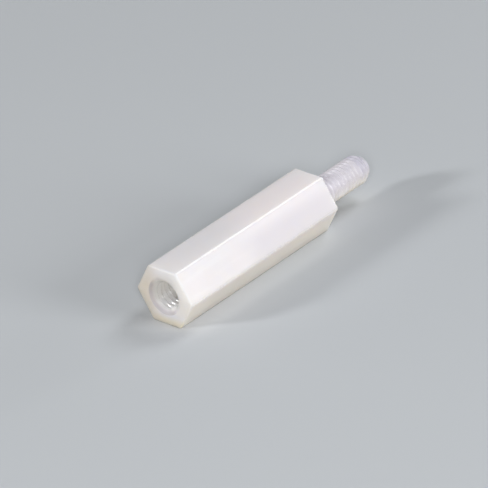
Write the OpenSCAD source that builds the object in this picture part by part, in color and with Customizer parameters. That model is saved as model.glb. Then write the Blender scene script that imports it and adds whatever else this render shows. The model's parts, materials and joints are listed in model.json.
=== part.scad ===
// Hex standoff, one moulded piece: a hexagonal body with a threaded hole in one
// end and a threaded stud on the other. It lies on one flat.
// The x axis is the standoff's own axis. The origin is where that axis meets the
// end face with the hole, and the stud points along +x.

/* [Body] */
// Width across two opposite flats
across_flats = 5.5; // [5:0.1:7]
// Length between the two end faces
body_length = 20; // [14:1:40]
// Radius on the six long edges
edge_radius = 0.3; // [0.1:0.05:0.5]
// Radius where each flat meets an end face
rim_radius = 0.15; // [0.05:0.05:0.3]

/* [Threaded hole] */
// Diameter of the hole at the thread's crests
bore_d = 2.5; // [2.2:0.05:2.7]
// Depth of the hole from the end face
bore_depth = 9.5; // [6:0.5:12]
// Width of the countersunk mouth at the end face
mouth_d = 3.5; // [3.1:0.1:3.8]
// Depth of the countersink
mouth_depth = 0.5; // [0.2:0.05:0.8]
// Radius on the lip of the mouth
lip_radius = 0.2; // [0.05:0.05:0.25]
// Radius round the bottom of the hole
bottom_radius = 0.25; // [0.1:0.05:0.5]

/* [Stud] */
// Diameter of the stud at the thread's crests
stud_d = 2.8; // [2.5:0.05:3]
// Length of the stud from the shoulder to its tip
stud_length = 7; // [4:0.5:12]
// Diameter of the stud's flat tip
tip_d = 1.9; // [1.5:0.05:2.2]
// Length of the taper that leads into the thread
tip_length = 0.8; // [0.4:0.1:1.2]
// Radius on the rim of the flat tip
tip_radius = 0.15; // [0.05:0.05:0.3]
// Radius of the fillet between the shoulder and the stud
root_radius = 0.15; // [0.05:0.05:0.3]

/* [Hidden] */

// Facets on a full turn of a curve
$fn = 96;
// How far one solid runs into another, or a cut runs past the face that it opens
overlap = 0.5;
// How far an arc runs past the two sides that it joins. It then crosses them at a
// small angle and ends in a clean edge, where a true tangent would leave a sliver.
crossing = 0.0002;

// Distance from the axis to a corner of the hexagon, before it is rounded
corner_r = across_flats / sqrt(3);
// Radii of the hole, its mouth, the stud and the stud's tip
bore_r = bore_d / 2;
mouth_r = mouth_d / 2;
stud_r = stud_d / 2;
tip_r = tip_d / 2;
// Angle of the solid at the lip of the mouth
lip_angle = atan2(mouth_depth, bore_r - mouth_r);
// Angle of the solid at the rim of the stud's tip
tip_angle = 90 + atan((stud_r - tip_r) / tip_length);

// Lays what is drawn along z down on the x axis
module along_x() {
    rotate([0, 90, 0]) children();
}

// What a rounding takes off a corner of the given angle. The corner is at the
// origin, and the solid fills half of the angle on each side of +x.
module rounding_cut(angle, radius) {
    side = (radius + overlap) * [-sin(angle / 2), cos(angle / 2)];
    translate([(radius - crossing) / sin(angle / 2), 0]) {
        difference() {
            polygon([[0, 0], side, [side.x, -side.y]]);
            circle(r = radius);
        }
    }
}

// The body's section: a hexagon with two flats facing along x, its corners rounded
module section() {
    difference() {
        rotate(30) circle(r = corner_r, $fn = 6);
        for (turn = [30:60:330]) {
            rotate(turn) translate([corner_r, 0]) rotate(180) rounding_cut(120, edge_radius);
        }
    }
}

// The six cuts that round the rim of the end face at x = 0, one along each flat
module rim_cuts() {
    for (turn = [0:60:300]) {
        rotate([turn, 0, 0]) translate([0, across_flats, across_flats / 2])
            rotate([90, 0, 0]) linear_extrude(2 * across_flats)
                rotate(-45) rounding_cut(90, rim_radius);
    }
}

// The hexagonal bar between its two end faces
module bar() {
    difference() {
        along_x() linear_extrude(body_length) section();
        rim_cuts();
        translate([body_length, 0, 0]) mirror([1, 0, 0]) rim_cuts();
    }
}

// Half of the hole's outline. Its x is the distance from the axis, its y the depth.
module hole_outline() {
    difference() {
        square([bore_r, bore_depth]);
        translate([bore_r, bore_depth]) rotate(225) rounding_cut(90, bottom_radius);
    }
    polygon([[0, 0], [mouth_r, 0], [bore_r, mouth_depth], [0, mouth_depth]]);
    translate([mouth_r, 0]) rotate(lip_angle / 2) rounding_cut(lip_angle, lip_radius);
    translate([0, -overlap]) square([mouth_r, overlap]);
}

// The blind hole, as the cut that makes it
module threaded_hole() {
    along_x() rotate_extrude() hole_outline();
}

// Half of the stud's outline. Its x is the distance from the axis, its y the
// distance from the shoulder. The stud's foot lies hidden in the body, and comes
// up round the stud as the fillet.
module stud_outline() {
    foot_r = stud_r + root_radius;
    difference() {
        polygon([
            [0, 0], [stud_r, 0], [stud_r, stud_length - tip_length],
            [tip_r, stud_length], [0, stud_length]
        ]);
        translate([tip_r, stud_length])
            rotate(180 + tip_angle / 2) rounding_cut(tip_angle, tip_radius);
    }
    difference() {
        translate([0, -overlap]) square([foot_r, overlap + root_radius]);
        translate([foot_r - crossing, root_radius - crossing]) circle(r = root_radius);
    }
}

// The stud, standing on the shoulder
module stud() {
    translate([body_length, 0, 0]) along_x() rotate_extrude() stud_outline();
}

// The whole standoff
module standoff() {
    color("whitesmoke") difference() {
        union() {
            bar();
            stud();
        }
        threaded_hole();
    }
}

standoff();
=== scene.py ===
# %% [markdown]
# # A hex standoff, moulded in nylon
#
# A standoff holds a circuit board a set distance off a panel. This one is a single moulding in natural
# nylon: a hexagonal bar, a threaded hole in one end and a threaded stud on the other. The plain solid is
# already made, at its real size, with both threads left as smooth cylinders at their crests. This lesson
# models the same moulding again with its threads cut, gives it the look of nylon, and lights it on a table.

# %% Load the plain solid
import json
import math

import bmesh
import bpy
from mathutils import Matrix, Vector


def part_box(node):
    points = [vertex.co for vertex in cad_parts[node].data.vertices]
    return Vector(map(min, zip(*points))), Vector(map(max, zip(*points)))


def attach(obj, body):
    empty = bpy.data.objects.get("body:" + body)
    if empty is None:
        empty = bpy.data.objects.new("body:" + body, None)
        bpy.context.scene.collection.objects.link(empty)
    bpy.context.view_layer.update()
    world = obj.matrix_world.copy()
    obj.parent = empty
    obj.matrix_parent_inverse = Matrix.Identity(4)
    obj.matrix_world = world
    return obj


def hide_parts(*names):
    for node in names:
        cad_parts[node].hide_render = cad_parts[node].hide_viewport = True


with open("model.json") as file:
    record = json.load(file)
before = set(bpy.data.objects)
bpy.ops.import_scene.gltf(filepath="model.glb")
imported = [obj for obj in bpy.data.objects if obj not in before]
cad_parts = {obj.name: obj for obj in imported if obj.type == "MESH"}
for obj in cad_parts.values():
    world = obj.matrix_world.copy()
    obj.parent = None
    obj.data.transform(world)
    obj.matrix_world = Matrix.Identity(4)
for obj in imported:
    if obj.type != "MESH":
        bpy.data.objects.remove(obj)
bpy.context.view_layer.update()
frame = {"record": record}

# %% [markdown]
# ## Sizes
#
# The sizes that other parts fit are read from the solid and from its list of mounts, so that the two
# models can't drift apart. The others, such as the roundings, the mouth and the tip, are named here.
# Everything is modelled in millimetres and brought down to metres at the very end. Blender's merge and
# bevel tools have tolerances meant for bigger things, and a 0.3 mm rounding is easier to read than 0.0003.

MM = 0.001
MERGE = 1e-4
low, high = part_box("standoff")
mounts = {mount["name"]: mount for mount in frame["record"]["mounts"]}

across_flats = (high.z - low.z) / MM
corner_r = across_flats / math.sqrt(3)
body_length = mounts["shoulder"]["pos_m"][0] / MM
total_length = high.x / MM
bore_r = mounts["threaded_hole"]["dims"]["r_mm"]
stud_r = mounts["stud"]["dims"]["r_mm"]

edge_radius = 0.3
rim_radius = 0.15
mouth_r = 1.75
mouth_depth = 0.5
lip_radius = 0.2
bore_depth = 9.5
bottom_radius = 0.25
tip_r = 0.95
tip_length = 0.8
tip_radius = 0.15
root_radius = 0.15
print(f"bar {across_flats:.2f} x {body_length:.1f} mm, hole {2 * bore_r:.2f} mm, stud {2 * stud_r:.2f} mm")

# %% [markdown]
# ## Tools for working as by hand
#
# An operator acts on whatever is selected, and loading the solid left it selected. So each new piece starts
# from an empty selection, and inside edit mode the edges are picked by a test on where they lie.

# %% Selecting in code
def alone(piece):
    """Makes one object the only selected one, and the active one."""
    bpy.ops.object.select_all(action="DESELECT")
    piece.select_set(True)
    bpy.context.view_layer.objects.active = piece


def pick_edges(test):
    """In edit mode, selects the edges whose two ends pass a test. Says how many there are."""
    bpy.ops.mesh.select_mode(type="EDGE")
    bpy.ops.mesh.select_all(action="DESELECT")
    data = bpy.context.object.data
    mesh = bmesh.from_edit_mesh(data)
    for edge in mesh.edges:
        edge.select_set(test(edge.verts[0].co, edge.verts[1].co))
    mesh.select_flush_mode()
    bmesh.update_edit_mesh(data)
    return sum(edge.select for edge in mesh.edges)


# %% [markdown]
# ## The hexagonal bar
#
# A cylinder with six sides is a hexagonal bar. Turned about the y axis, it lies on one flat with two of
# its long edges at the sides. Two bevels make the roundings that the mould's own corners leave: first the
# six long edges, then the rim of each end face. The second bevel follows the corners that the first one
# made. A bevel's offset is measured along the face, so a radius is multiplied by the tangent of half the
# turn.

# %% Model the bar
EDGE_STEPS = 8
ROUND_STEPS = 5


def bevel_offset(radius, turn):
    """How far along each face a rounding reaches, where the surface turns by that many degrees."""
    return radius * math.tan(math.radians(turn / 2))


bpy.ops.object.select_all(action="DESELECT")
bpy.ops.mesh.primitive_cylinder_add(
    vertices=6, radius=corner_r, depth=body_length,
    location=(body_length / 2, 0, 0), rotation=(0, math.radians(90), 0),
)
standoff = bpy.context.object
standoff.name = "nylon_standoff"
bpy.ops.object.transform_apply(location=True, rotation=True, scale=True)

bpy.ops.object.mode_set(mode="EDIT")
pick_edges(lambda a, b: abs(a.x - b.x) > body_length / 2)
bpy.ops.mesh.bevel(offset=bevel_offset(edge_radius, 60), segments=EDGE_STEPS, affect="EDGES")
rim_edges = pick_edges(lambda a, b: abs(a.x - b.x) < MERGE)
bpy.ops.mesh.bevel(offset=bevel_offset(rim_radius, 90), segments=ROUND_STEPS, affect="EDGES")
bpy.ops.object.mode_set(mode="OBJECT")
print(f"the rims had {rim_edges} edges; the bar now has {len(standoff.data.polygons)} faces")

# %% [markdown]
# ## Outlines and turned shapes
#
# The stud and the hole are both turned shapes, so each is drawn as half an outline and spun about the x
# axis. The pencil's first dot is a plane with its four corners merged into one. Each further corner is an
# extruded vertex, and bevelling a single vertex of the line rounds that corner.

# %% Draw an outline
def pick_vertex(x, r):
    """In edit mode, selects the outline's vertex at that place."""
    bpy.ops.mesh.select_all(action="DESELECT")
    data = bpy.context.object.data
    mesh = bmesh.from_edit_mesh(data)
    nearest = min(mesh.verts, key=lambda vertex: (vertex.co - Vector((x, 0, r))).length)
    nearest.select_set(True)
    mesh.select_flush_mode()
    bmesh.update_edit_mesh(data)


def draw(name, corners):
    """Draws a line through corners, each (x, r) or (x, r, offset, segments) where it is rounded."""
    bpy.ops.object.select_all(action="DESELECT")
    bpy.ops.mesh.primitive_plane_add(size=1, location=(0, 0, 0))
    line = bpy.context.object
    line.name = name
    bpy.ops.object.mode_set(mode="EDIT")
    bpy.ops.mesh.select_all(action="SELECT")
    bpy.ops.mesh.merge(type="CENTER")
    bpy.ops.mesh.select_all(action="SELECT")
    bpy.ops.transform.translate(value=(corners[0][0], 0, corners[0][1]))
    for before, after in zip(corners, corners[1:]):
        step = (after[0] - before[0], 0, after[1] - before[1])
        bpy.ops.mesh.extrude_vertices_move(TRANSFORM_OT_translate={"value": step})
    bpy.ops.mesh.select_mode(type="VERT")
    for corner in corners:
        if len(corner) > 2:
            pick_vertex(corner[0], corner[1])
            bpy.ops.mesh.bevel(offset=corner[2], segments=corner[3], affect="VERTICES")
    return line


# %% Spin an outline into a solid
TURN_STEPS = 72


def turned(name, corners):
    """Spins an outline that starts and ends on the x axis into a closed solid."""
    solid = draw(name, corners)
    bpy.ops.mesh.select_all(action="SELECT")
    bpy.ops.mesh.spin(steps=TURN_STEPS, angle=2 * math.pi, center=(0, 0, 0), axis=(1, 0, 0))
    bpy.ops.mesh.select_all(action="SELECT")
    bpy.ops.mesh.remove_doubles(threshold=MERGE)
    bpy.ops.mesh.normals_make_consistent(inside=False)
    bpy.ops.object.mode_set(mode="OBJECT")
    print(f"{name}: {len(solid.data.polygons)} faces")
    return solid


# %% [markdown]
# ## Threads
#
# Both threads are M3: they climb 0.5 mm a turn, right-handed, with flanks that lean 30 degrees. A moulded
# thread is softer than a cut one, so its crests and roots are well rounded. One pitch of the outline is
# drawn and the Screw modifier sweeps it up the helix, which keeps every crest a clean line of the mesh. A
# bump map would be quicker, but the thread shows in the stud's outline and catches the light on its crests.

# %% Sweep a thread
PITCH = 0.5
FLANK_LEAN = math.tan(math.radians(30))
CREST_STEPS = 4
ROOT_STEPS = 3


def threaded_rod(name, crest_r, root_r, crest_width, crest_round, root_round, start, turns):
    """A closed rod with a right-hand thread. On the +z side, its first crest's middle is at start."""
    flank = (crest_r - root_r) * FLANK_LEAN
    root_half = (PITCH - crest_width) / 2 - flank
    first = start - PITCH / 2
    corners = [
        (first, root_r),
        (first + root_half, root_r, bevel_offset(root_round, 60), ROOT_STEPS),
        (first + root_half + flank, crest_r, bevel_offset(crest_round, 60), CREST_STEPS),
        (first + PITCH - root_half - flank, crest_r, bevel_offset(crest_round, 60), CREST_STEPS),
        (first + PITCH - root_half, root_r, bevel_offset(root_round, 60), ROOT_STEPS),
        (first + PITCH, root_r),
    ]
    rod = draw(name, corners)
    bpy.ops.object.mode_set(mode="OBJECT")
    sweep = rod.modifiers.new("Sweep", "SCREW")
    sweep.axis = "X"
    sweep.angle = 2 * math.pi
    sweep.screw_offset = PITCH
    sweep.iterations = turns
    sweep.steps = sweep.render_steps = TURN_STEPS
    sweep.use_smooth_shade = False
    alone(rod)
    bpy.ops.object.modifier_apply(modifier="Sweep")
    close_ends(rod, start + (turns - 1) * PITCH / 2)
    return rod


# %% [markdown]
# The sweep leaves a tube that is open at both ends. Each open rim is filled with one face, and the face is
# poked into a fan. Both ends lie past the shape that the rod is later cut to, so they go with the waste.

# %% Close the ends of a sweep
def pick_open_edges(test):
    """In edit mode, selects the open edges whose ends pass a test. Says how many there are."""
    bpy.ops.mesh.select_mode(type="EDGE")
    bpy.ops.mesh.select_all(action="DESELECT")
    data = bpy.context.object.data
    mesh = bmesh.from_edit_mesh(data)
    rim = [edge for edge in mesh.edges if edge.is_boundary and all(test(v.co) for v in edge.verts)]
    for edge in rim:
        edge.select_set(True)
    mesh.select_flush_mode()
    bmesh.update_edit_mesh(data)
    return len(rim)


def close_ends(rod, middle):
    """Fills the open rim on each side of the middle and points all faces outwards."""
    bpy.ops.object.mode_set(mode="EDIT")
    bpy.ops.mesh.select_all(action="SELECT")
    bpy.ops.mesh.remove_doubles(threshold=MERGE)
    for left in (True, False):
        open_edges = pick_open_edges(lambda place: (place.x < middle) == left)
        bpy.ops.mesh.edge_face_add()
        bpy.ops.mesh.poke()
        print(f"{rod.name}: closed an end of {open_edges} edges")
    bpy.ops.mesh.select_all(action="SELECT")
    bpy.ops.mesh.normals_make_consistent(inside=False)
    bpy.ops.object.mode_set(mode="OBJECT")


# %% [markdown]
# ## Cutting one solid with another
#
# A thread on a rod has no start or end of its own. On the real part it grows out of the neck and fades into
# the tip, because the mould's cavity is a thread cut by other shapes. Boolean modifiers do the same here.
# The Manifold solver needs closed solids, which all of these are, and gives closed solids back.

# %% Cut and join solids
def combine(solid, tool, operation):
    """Cuts a tool from a solid, joins it on, or keeps what both share. The tool is used up."""
    alone(solid)
    work = solid.modifiers.new("Work", "BOOLEAN")
    work.operation = operation
    work.solver = "MANIFOLD"
    work.object = tool
    bpy.ops.object.modifier_apply(modifier="Work")
    bpy.data.objects.remove(tool)
    print(f"{solid.name}: {operation.lower()} leaves {len(solid.data.polygons)} faces")
    return solid


# %% [markdown]
# ## The threaded stud
#
# The stud is the overlap of two solids. The threaded rod gives it its thread, and a plain blank gives it
# its neck, its taper and its rounded tip. Before that, a cone is joined onto the rod next to the shoulder,
# so that the groove runs out gently into the neck as it does on the real stud. The neck is 0.02 mm under
# the crests and the rod 0.05 mm clear of the blank. The blank's flare starts SINK under the shoulder. So no
# two faces coincide, which solvers handle badly.

# %% Model the stud
SINK = 0.002
thread_depth = 0.23
neck_r = stud_r - 0.02
neck_length = 0.35
rod_space = 0.05
blank_r = stud_r + rod_space
taper_slope = (stud_r - tip_r) / tip_length
tip_turn = 90 - math.degrees(math.atan(taper_slope))
blank_foot = body_length - 0.25
blank_foot_r = neck_r + root_radius + 0.05
run_out_foot = body_length - 0.3
run_out_start = body_length + 0.25
run_out_end = body_length + 0.8
run_out_wide_r = stud_r + 0.2
run_out_thin_r = stud_r - 0.4

stud = threaded_rod(
    "stud", crest_r=stud_r, root_r=stud_r - thread_depth, crest_width=0.17, crest_round=0.145,
    root_round=0.05, start=body_length - 0.1, turns=16,
)
run_out = turned("run_out", [
    (run_out_foot, 0),
    (run_out_foot, run_out_wide_r),
    (run_out_start, run_out_wide_r),
    (run_out_end, run_out_thin_r),
    (run_out_end, 0),
])
combine(stud, run_out, "UNION")
blank = turned("blank", [
    (blank_foot, 0),
    (blank_foot, blank_foot_r),
    (body_length - SINK, blank_foot_r),
    (body_length - SINK, neck_r, bevel_offset(root_radius, 90), ROUND_STEPS),
    (body_length + neck_length, neck_r),
    (body_length + neck_length + rod_space, blank_r),
    (total_length - tip_length - rod_space / taper_slope, blank_r),
    (total_length, tip_r, bevel_offset(tip_radius, tip_turn), ROUND_STEPS),
    (total_length, 0),
])
combine(stud, blank, "INTERSECT")

# %% [markdown]
# ## The threaded hole
#
# A hole is made by its tap: a threaded rod whose roots are the crests of the nylon's thread. It is cut to
# length by an envelope that lets the thread fade out before the bottom, where the moulding pin ends in a
# plain rounded nose. A second plug opens the countersunk mouth and rounds its lip.

# %% Model the tap and the mouth
groove_depth = 0.25
envelope_start = 0.1
envelope_r = bore_r + 0.4
fade_start = bore_depth - 1.3
fade_end = bore_depth - 0.7
nose_r = bore_r - 0.02
plug_start = -0.4
plug_r = mouth_r + 0.5
plug_extra = 0.05
tap = threaded_rod(
    "tap", crest_r=bore_r + groove_depth, root_r=bore_r, crest_width=0.07, crest_round=0.04,
    root_round=0.115, start=-0.64, turns=22,
)
envelope = turned("envelope", [
    (envelope_start, 0),
    (envelope_start, envelope_r),
    (fade_start, envelope_r),
    (fade_end, nose_r),
    (bore_depth, nose_r, bevel_offset(bottom_radius, 90), ROUND_STEPS),
    (bore_depth, 0),
])
combine(tap, envelope, "INTERSECT")
mouth_slope = (mouth_r - bore_r) / mouth_depth
mouth = turned("mouth", [
    (plug_start, 0),
    (plug_start, plug_r),
    (-SINK, plug_r),
    (-SINK, mouth_r + SINK * mouth_slope, bevel_offset(lip_radius, 45), ROUND_STEPS),
    (mouth_depth + plug_extra, bore_r - plug_extra * mouth_slope),
    (mouth_depth + plug_extra, 0),
])

# %% [markdown]
# ## One moulding
#
# The real part comes out of its mould in one piece, so the bar, the stud and the two cuts become one
# closed mesh. The solver leaves a few slivers where curves cross. Merging points half a micrometre apart
# removes them, and faces with more than four corners are cut into triangles, so that every program splits
# them the same way. Then the piece is brought to metres and shaded smooth up to 35 degrees. Weighted
# normals keep the large flats flat right up to their roundings.

# %% Join, clean and smooth
SLIVER = 0.0005
SMOOTH_UP_TO = math.radians(35)

combine(standoff, stud, "UNION")
combine(standoff, mouth, "DIFFERENCE")
combine(standoff, tap, "DIFFERENCE")

alone(standoff)
bpy.ops.object.mode_set(mode="EDIT")
bpy.ops.mesh.select_all(action="SELECT")
bpy.ops.mesh.remove_doubles(threshold=SLIVER)
bpy.ops.mesh.dissolve_degenerate(threshold=MERGE)
bpy.ops.mesh.select_mode(type="FACE")
bpy.ops.mesh.select_all(action="DESELECT")
bpy.ops.mesh.select_face_by_sides(number=4, type="GREATER")
bpy.ops.mesh.quads_convert_to_tris(ngon_method="BEAUTY")
bpy.ops.mesh.select_all(action="SELECT")
bpy.ops.mesh.normals_make_consistent(inside=False)
bpy.ops.object.mode_set(mode="OBJECT")
standoff.scale = (MM, MM, MM)
bpy.ops.object.transform_apply(location=False, rotation=False, scale=True)
bpy.ops.object.shade_smooth_by_angle(angle=SMOOTH_UP_TO)
weigh = standoff.modifiers.new("Weigh", "WEIGHTED_NORMAL")
weigh.keep_sharp = True
bpy.ops.object.modifier_apply(modifier="Weigh")
size_mm = [round(value / MM, 3) for value in standoff.dimensions]
print(f"one moulding of {len(standoff.data.polygons)} faces, {size_mm} mm")

# %% [markdown]
# ## Natural nylon
#
# Nylon without pigment is milky. Light sinks in, scatters on the crystals in it, and comes out a little way
# off, so the moulding looks lit from within and no shadow on it is quite dark. The Principled shader's
# subsurface part does this. Red light travels a little further than blue, as it does in the real resin. The
# values that are the same all over are set on the shader itself.

# %% Start the nylon
nylon = bpy.data.materials.new("natural_nylon")
nylon.use_nodes = True
nodes = nylon.node_tree.nodes
links = nylon.node_tree.links
shader = nodes["Principled BSDF"]
shader.inputs["IOR"].default_value = 1.53
shader.inputs["Subsurface Radius"].default_value = (1.0, 0.92, 0.8)

# %% [markdown]
# The variation over the surface comes from nodes. These six helpers keep the node code short: one adds a
# node, one eases a value from one end of a range to the other, and the others mix two colours, calculate,
# find where two masks overlap, and make noise.

# %% Helpers for the nylon's nodes
def add(kind, **settings):
    """Adds a node. A setting names a property, or an input where its name starts with a capital."""
    made = nodes.new("ShaderNode" + kind)
    for name, value in settings.items():
        if name[0].isupper():
            made.inputs[name.replace("_", " ")].default_value = value
        else:
            setattr(made, name, value)
    return made


def ease(value, start, end, low_end=0.0, high_end=1.0):
    """Goes smoothly from low_end to high_end while the value goes from start to end."""
    made = add("MapRange", interpolation_type="SMOOTHSTEP", From_Min=start, From_Max=end,
               To_Min=low_end, To_Max=high_end)
    links.new(value, made.inputs["Value"])
    return made.outputs["Result"]


def mixed(share, first, second):
    """A colour on its way from the first, a node's or three numbers, to the second, three numbers."""
    made = add("Mix", data_type="RGBA")
    links.new(share, made.inputs["Factor"])
    start, end = [socket for socket in made.inputs if socket.type == "RGBA"]
    end.default_value = (*second, 1)
    if isinstance(first, tuple):
        start.default_value = (*first, 1)
    else:
        links.new(first, start)
    return next(socket for socket in made.outputs if socket.type == "RGBA")


def maths(operation, first, second):
    """Calculates with a value and another value or number."""
    made = add("Math", operation=operation)
    links.new(first, made.inputs[0])
    if isinstance(second, (int, float)):
        made.inputs[1].default_value = second
    else:
        links.new(second, made.inputs[1])
    return made.outputs[0]


def overlap(first, second):
    """The part that two masks share."""
    return maths("MULTIPLY", first, second)


place = add("TexCoord")


def noise(scale, detail, along_x=1.0):
    """Noise with cells about 1 / scale millimetres across. A small along_x draws them out lengthwise."""
    mapping = add("Mapping", Scale=(along_x / MM, 1 / MM, 1 / MM))
    links.new(place.outputs["Object"], mapping.inputs["Vector"])
    made = add("TexNoise", Scale=scale, Detail=detail)
    links.new(mapping.outputs["Vector"], made.inputs["Vector"])
    return made.outputs["Fac"]


# %% [markdown]
# ### Where a point lies
#
# The nylon is the same everywhere, but its thickness and the way light reaches it aren't, and that changes
# its look. Most of these masks are used below to paint that light and shade into the colour. Object
# coordinates tell how far along the piece a point is, how far to the side, how high and how far from the
# axis. Soft masks come from those four. Each is 1 inside its region and 0 outside, but for two:
# lower_sides goes up to a half, and solid_sides is down to a third on the lower sides.

# %% Masks from object coordinates
axes = add("SeparateXYZ")
links.new(place.outputs["Object"], axes.inputs["Vector"])
along = axes.outputs["X"]
side = axes.outputs["Y"]
height = axes.outputs["Z"]
squares = maths("ADD", maths("MULTIPLY", side, side), maths("MULTIPLY", height, height))
from_axis = maths("POWER", squares, 0.5)

solid_half = ease(along, (bore_depth - 3) * MM, (bore_depth + 1.5) * MM)
below_top = overlap(solid_half, ease(height, 2.9 * MM, 1.2 * MM))
solid_sides = overlap(below_top, ease(height, -0.8 * MM, 0.2 * MM, 0.35, 1))
lower_sides = ease(height, 0.2 * MM, -1 * MM, 0, 0.5)
top_flat = ease(height, 2.6 * MM, 2.74 * MM)
end_face = ease(along, 0.3 * MM, 0.1 * MM)
far_corner = overlap(end_face, ease(side, -0.3 * MM, 2.3 * MM))
foot = overlap(end_face, ease(height, -1.6 * MM, -2.5 * MM))

on_stud = ease(along, (body_length - 0.1) * MM, (body_length + 0.4) * MM)
under_stud = overlap(on_stud, ease(height, 0.5 * MM, -0.8 * MM))
at_tip = ease(along, (total_length - 2) * MM, (total_length - 1) * MM)

around_hole = ease(along, (bore_depth + 2) * MM, (bore_depth + 1) * MM)
in_hole = overlap(around_hole, ease(from_axis, (mouth_r - 0.05) * MM, (mouth_r - 0.4) * MM))
hole_side = overlap(in_hole, ease(side, 0.2 * MM, 0.9 * MM))
inside_lip = ease(from_axis, (mouth_r - 0.5) * MM, (mouth_r - 0.1) * MM)
outside_lip = ease(from_axis, (mouth_r + 0.07) * MM, (mouth_r - 0.01) * MM)
at_lip = overlap(overlap(inside_lip, outside_lip), ease(along, 0.4 * MM, 0.3 * MM))
far_lip = overlap(at_lip, ease(maths("SUBTRACT", side, height), -0.6 * MM, 0.8 * MM))

near_shoulder = ease(along, (body_length - 0.16) * MM, (body_length - 0.12) * MM)
on_shoulder = overlap(near_shoulder, ease(from_axis, 2.3 * MM, 2.5 * MM))
long_edges = ease(from_axis, (corner_r - 0.105) * MM, (corner_r - 0.075) * MM)
on_edge = maths("MAXIMUM", long_edges, on_shoulder)

# %% [markdown]
# ### Colour
#
# The resin is nearly white, with faint clouds where it cooled at different speeds and long streaks where
# it flowed along the mould. Over that go thin layers of tone, one mask at a time, each on top of those
# before it. Apart from the streaks, these tones are painted light and shade, not colours of the resin.
# The half of the bar without a hole is painted a shade deeper, most of all on its sides. The top and the
# lower sides are a little warmer, a painted tint on the top and painted shade on the lower sides. The end
# face is painted cooler, and warms towards its foot and, more deeply, towards one corner, as painted
# shade. The thin stud is painted cooler and darker, greyer at its tip as painted shade, and lighter
# underneath as painted light. In the hole the wall is painted lighter, lightest at the bottom, and the
# lower left of the lip, seen from the front, is painted greyer, as painted shade.

# %% The nylon's colour, with painted light and shade
clouds = noise(scale=0.4, detail=3)
streaks = noise(scale=1.6, detail=2, along_x=0.12)
resin = (0.95, 0.875, 0.915)
clouded_resin = (0.925, 0.85, 0.89)
resin_with_painted_light_and_shade = mixed(ease(clouds, 0.3, 0.7), resin, clouded_resin)
tones = [
    (ease(streaks, 0.45, 0.8), (0.965, 0.89, 0.93)),
    # painted shade: the solid half of the bar, a shade deeper than the half round the hole
    (solid_half, (0.90, 0.865, 0.91)),
    # painted shade: the side flats of the solid half, deeper still
    (solid_sides, (0.775, 0.75, 0.80)),
    # painted shade: the lower side flats, darker and warmer
    (lower_sides, (0.86, 0.84, 0.80)),
    # painted light: the top flat, tinted a little warmer
    (top_flat, (0.928, 0.855, 0.872)),
    # painted light: the end face, tinted cooler
    (end_face, (0.94, 0.88, 0.96)),
    # painted shade: the foot of the end face, warmer and darker
    (foot, (0.92, 0.815, 0.67)),
    # painted shade: the far corner of the end face, warm and darker
    (far_corner, (0.765, 0.685, 0.62)),
    # painted shade: the stud, darker and cooler
    (on_stud, (0.76, 0.72, 0.81)),
    # painted shade: the stud's tip, greyer
    (at_tip, (0.56, 0.54, 0.68)),
    # painted light: the stud's underside, lighter
    (under_stud, (0.99, 0.96, 1.0)),
    # painted light: the wall of the hole, lighter
    (in_hole, (0.995, 0.985, 0.985)),
    # painted shade: the wall of the hole on the +y side, darker
    (hole_side, (0.93, 0.915, 0.92)),
    # painted shade: the dull crescent at the lower left of the lip
    (far_lip, (0.60, 0.57, 0.60)),
]
# Each tone is laid on the running colour, which ends as the resin with painted light and shade.
for mask, tone in tones:
    resin_with_painted_light_and_shade = mixed(mask, resin_with_painted_light_and_shade, tone)
links.new(resin_with_painted_light_and_shade, shader.inputs["Base Color"])
print(f"the nylon has {len(tones)} tones over its clouds")

# %% [markdown]
# ### How deep the light goes
#
# Two inputs say what the light does. The weight is the share of it that goes in, and the scale is how far
# it then wanders. On the bar all of it goes in, and wanders 2.5 mm, or 3.5 mm at the end face. The stud and
# the wall of the hole are thin and look clearer, so light wanders much further there. About half of it
# stays on the surface, though, or else their threads would fade away. Low down near the mouth, where light
# falls in directly, the wall's depth is smaller. It is smaller too at the foot of the end face and under
# the stud, so that less light is lost into the shade below them. The part of the lip painted greyer, as
# painted shade, has the least depth, and shows as a dull crescent at the mouth of the hole.

# %% The depth of the light
hole_weight = 0.58
stud_weight = 0.5
weight_in_hole = ease(in_hole, 0, 1, 1, hole_weight)
weight_on_stud = ease(on_stud, 0, 1, 1, stud_weight)
weight = maths("MINIMUM", weight_in_hole, weight_on_stud)
links.new(weight, shader.inputs["Subsurface Weight"])

bar_depth = 2.5
face_depth = 3.5
least_in_hole = 6
most_in_hole = 60
lip_share = 0.15
clear_above = ease(height, -1.1 * MM, -0.5 * MM, least_in_hole, most_in_hole)
clear_deep = ease(along, 1.5 * MM, 3 * MM, least_in_hole, most_in_hole)
hole_extra = overlap(in_hole, maths("MAXIMUM", clear_above, clear_deep))
depth_mm = maths("ADD", ease(end_face, 0, 1, bar_depth, face_depth), hole_extra)
for mask, extra_mm in [(foot, -2.2), (on_stud, 14), (under_stud, -14)]:
    depth_mm = maths("ADD", depth_mm, ease(mask, 0, 1, 0, extra_mm))
depth_mm = maths("MULTIPLY", depth_mm, ease(far_lip, 0, 1, 1, lip_share))
links.new(maths("MULTIPLY", depth_mm, MM), shader.inputs["Subsurface Scale"])
print(f"light goes {bar_depth} mm deep in the bar and {face_depth} mm at the end face")

# %% [markdown]
# ### Gloss and skin
#
# The flats copy a lightly blasted mould and are satin, a little uneven in gloss. The threads come off
# polished inserts and the edges are rubbed by handling, so these are shinier. The lip and the stud's tip
# are duller. The hole and the shoulder's rim also mirror more strongly, which keeps the glints on the
# thread and the bright line on the rim. The long edges mirror a little more. Two bumps finish the skin: a
# fine grain from the mould, and long shallow waves where the nylon shrank as it set.

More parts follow.
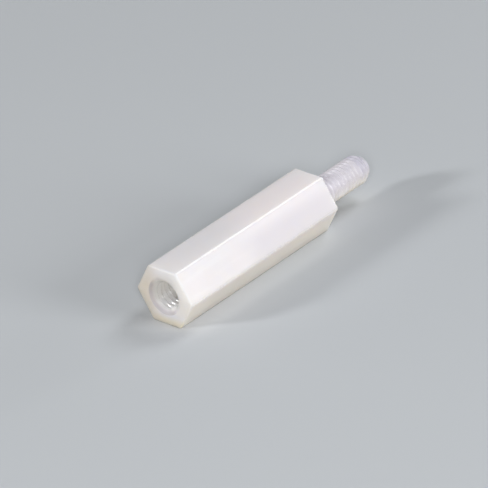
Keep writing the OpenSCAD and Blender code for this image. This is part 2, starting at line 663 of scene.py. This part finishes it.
# %% The nylon's gloss and bumps
grain = noise(scale=7.0, detail=2)
satin = ease(clouds, 0.3, 0.7, 0.29, 0.33)
unevenness = ease(grain, 0.3, 0.7, 0, 0.03)
roughness = maths("ADD", satin, unevenness)
changes = [(in_hole, -0.16), (on_edge, -0.06), (on_stud, -0.05), (at_lip, 0.25), (at_tip, 0.15)]
for mask, change in changes:
    roughness = maths("ADD", roughness, maths("MULTIPLY", mask, change))
links.new(roughness, shader.inputs["Roughness"])
mirror = ease(maths("MAXIMUM", in_hole, on_shoulder), 0, 1, 0.5, 1.0)
mirror = maths("ADD", mirror, ease(on_edge, 0, 1, 0, 0.1))
links.new(mirror, shader.inputs["Specular IOR Level"])

fine = add("Bump", Strength=0.35, Distance=0.004 * MM)
links.new(grain, fine.inputs["Height"])
broad = add("Bump", Strength=0.5, Distance=0.02 * MM)
links.new(streaks, broad.inputs["Height"])
links.new(fine.outputs["Normal"], broad.inputs["Normal"])
links.new(broad.outputs["Normal"], shader.inputs["Normal"])

# %% [markdown]
# ### Put it on
#
# The finished piece takes the plain solid's place, moves with the same body and wears the nylon made above.

# %% Dress the standoff
standoff.data.materials.clear()
standoff.data.materials.append(nylon)
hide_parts("standoff")
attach(standoff, "root")

# %% [markdown]
# ## The table
#
# The piece lies on pale card. A pale table under a pale object would throw so much light back up that the
# lower flats lost their shading. So the card is pale to the camera and in reflections, and darker and
# warmer to light that bounces. The Light Path node tells the two apart.

# %% Lay the table
def seen_or_bounced(tree, seen, bounced):
    """A colour that is one thing to the camera and in reflections, and another to bouncing light."""
    path = tree.nodes.new("ShaderNodeLightPath")
    either = tree.nodes.new("ShaderNodeMath")
    either.operation = "MAXIMUM"
    tree.links.new(path.outputs["Is Camera Ray"], either.inputs[0])
    tree.links.new(path.outputs["Is Glossy Ray"], either.inputs[1])
    choice = tree.nodes.new("ShaderNodeMix")
    choice.data_type = "RGBA"
    tree.links.new(either.outputs[0], choice.inputs["Factor"])
    start, end = [socket for socket in choice.inputs if socket.type == "RGBA"]
    start.default_value = (*bounced, 1)
    end.default_value = (*seen, 1)
    return next(socket for socket in choice.outputs if socket.type == "RGBA")


card_seen = (0.62, 0.65, 0.68)
card_bounced = (0.345, 0.30, 0.18)
table_width = 6

bpy.ops.object.select_all(action="DESELECT")
bpy.ops.mesh.primitive_plane_add(size=table_width, location=(0, 0, low.z))
table = bpy.context.object
table.name = "table"
bpy.ops.object.transform_apply(location=True, rotation=True, scale=True)
card = bpy.data.materials.new("table_card")
card.use_nodes = True
card_shader = card.node_tree.nodes["Principled BSDF"]
card_shader.inputs["Roughness"].default_value = 0.9
card_shader.inputs["Specular IOR Level"].default_value = 0.2
card_colour = seen_or_bounced(card.node_tree, card_seen, card_bounced)
card.node_tree.links.new(card_colour, card_shader.inputs["Base Color"])
table.data.materials.append(card)

# %% [markdown]
# ## Light
#
# Each lamp is a soft square panel that faces the middle of the bar. right_side lights the two flats on the
# camera's side, and camera_side the end face and the inside of the hole. The next three are placed by their
# mirror images. edge_light stands high behind the stud and draws the bright line on the long upper edge.
# rim_light does the same for the shoulder's rim, and hole_glint for the flanks of the thread in the hole.
# left_low is a little warm and keeps the far side from going dark. Powers are low because the panels are so
# close.

# %% Place the lamps
LAMP_DISTANCE = 0.5
WHITE = (1, 1, 1)
WARM = (1, 0.95, 0.88)


def panel(name, direction, size, power, colour=WHITE):
    """A square lamp that faces the middle of the bar and doesn't show itself to the camera."""
    middle = Vector((body_length / 2 * MM, 0, 0))
    towards = Vector(direction).normalized()
    bpy.ops.object.light_add(type="AREA", location=middle + towards * LAMP_DISTANCE)
    lamp = bpy.context.object
    lamp.name = name
    lamp.data.shape = "SQUARE"
    lamp.data.size = size
    lamp.data.energy = power
    lamp.data.color = colour
    lamp.rotation_euler = towards.to_track_quat("Z", "Y").to_euler()
    lamp.visible_camera = False
    print(f"{name}: {size} m wide, {power} W")


panel("right_side", (0.2, -0.93, 0.3), size=0.18, power=1.15)
panel("camera_side", (-0.63, -0.6, 0.5), size=0.1, power=1.15)
panel("edge_light", (0.63, -0.13, 0.765), size=0.2, power=0.63)
panel("rim_light", (0.95, -0.25, 0.05), size=0.1, power=0.8)
panel("hole_glint", (-0.76, 0.52, 0.4), size=0.07, power=1.0)
panel("left_low", (-0.3, 0.95, 0.1), size=0.25, power=0.3, colour=WARM)

# %% [markdown]
# The world fills in what the panels leave out, very dimly. To the camera and in reflections it is a pale
# backdrop, so the standoff stands in a light room from every side.

# %% The room
room = bpy.data.worlds.new("room")
bpy.context.scene.world = room
room.use_nodes = True
backdrop = room.node_tree.nodes["Background"]
backdrop.inputs["Strength"].default_value = 1
room_seen = (0.5, 0.53, 0.56)
room_bounced = (0.03, 0.03, 0.03)
room_colour = seen_or_bounced(room.node_tree, room_seen, room_bounced)
room.node_tree.links.new(room_colour, backdrop.inputs["Color"])

# %% [markdown]
# ## Camera
#
# A long lens from half a metre away keeps the six edges nearly parallel. The camera looks at a point on the
# axis from the front right and above, and is rolled a little. Its turn is made from the direction back to
# the camera: the local z axis of a camera points backwards.

# %% Set the camera
aim = Vector((10.72, 0, 0)) * MM
azimuth = math.radians(-136.55)
elevation = math.radians(29.89)
roll = math.radians(-5.89)
distance = 526.3 * MM
level = math.cos(elevation)
back = Vector((math.cos(azimuth) * level, math.sin(azimuth) * level, math.sin(elevation)))
bpy.ops.object.camera_add(location=aim + back * distance)
camera = bpy.context.object
camera.rotation_mode = "QUATERNION"
rolled = Matrix.Rotation(roll, 3, "Z").to_quaternion()
camera.rotation_quaternion = back.to_track_quat("Z", "Y") @ rolled
camera.data.sensor_width = 36
camera.data.lens = 441.4
camera.data.clip_start = 0.01
camera.data.clip_end = 20
bpy.context.scene.camera = camera
bpy.context.scene.view_settings.view_transform = "Standard"
print(f"the camera is {distance / MM:.0f} mm away, with a {camera.data.lens:.0f} mm lens")
